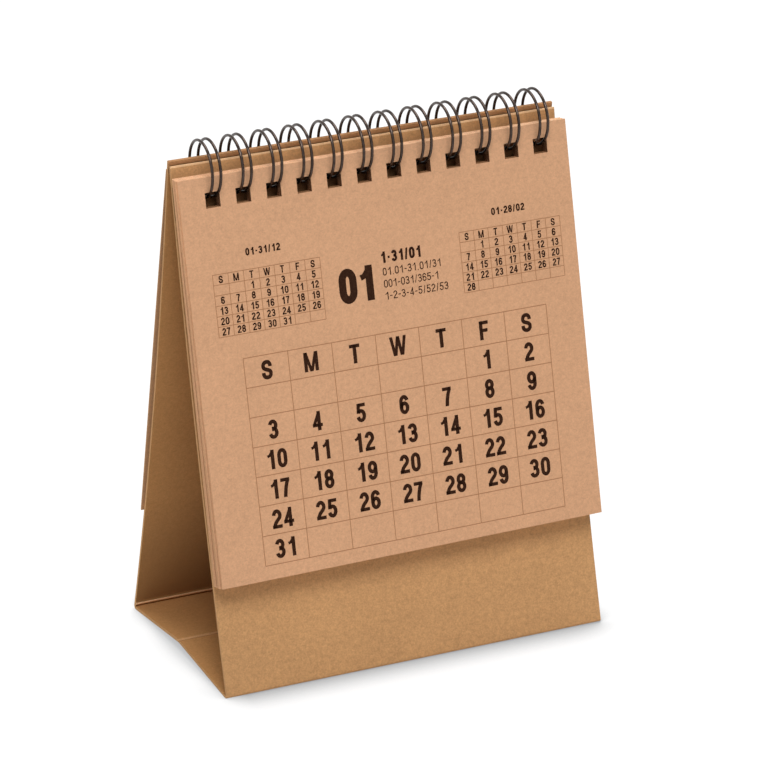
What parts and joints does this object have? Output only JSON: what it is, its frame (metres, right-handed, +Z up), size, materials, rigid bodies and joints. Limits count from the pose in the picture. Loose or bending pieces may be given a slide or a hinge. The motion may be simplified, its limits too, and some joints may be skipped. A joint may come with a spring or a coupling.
{
  "type": "desk calendar",
  "caption": "Tent-shaped desk calendar: a folded kraft card stand, a stack of month leaves that turns on a twin-loop wire, and a cover leaf lying on the back.",
  "frame": {"origin": "centre of the footprint, on the surface that the stand rests on", "axes": "+X along the wire, to the right for a person reading the leaves; +Y from the leaves to the back; +Z up"},
  "size_m": [0.1106, 0.0626, 0.1425],
  "materials": {
    "stand_card": "matte uncoated kraft card",
    "leaf_paper": "matte uncoated kraft paper, printed dark brown",
    "cover_paper": "matte uncoated kraft paper",
    "binding_wire": "black coated steel wire"
  },
  "bodies": {
    "tent": {"stand": "stand_card", "wire_binding": "binding_wire"},
    "pages": {"page_block": "leaf_paper"},
    "cover": {"cover_leaf": "cover_paper"}
  },
  "joints": [
    {"name": "page_turn", "type": "hinge", "parent": "tent", "child": "pages", "pos_m": [0, -0.00197, 0.13475], "axis": [-1, 0, 0], "range_deg": [0, 130]},
    {"name": "cover_turn", "type": "hinge", "parent": "tent", "child": "cover", "pos_m": [0, -0.00197, 0.13475], "axis": [1, 0, 0], "range_deg": [0, 60]}
  ]
}
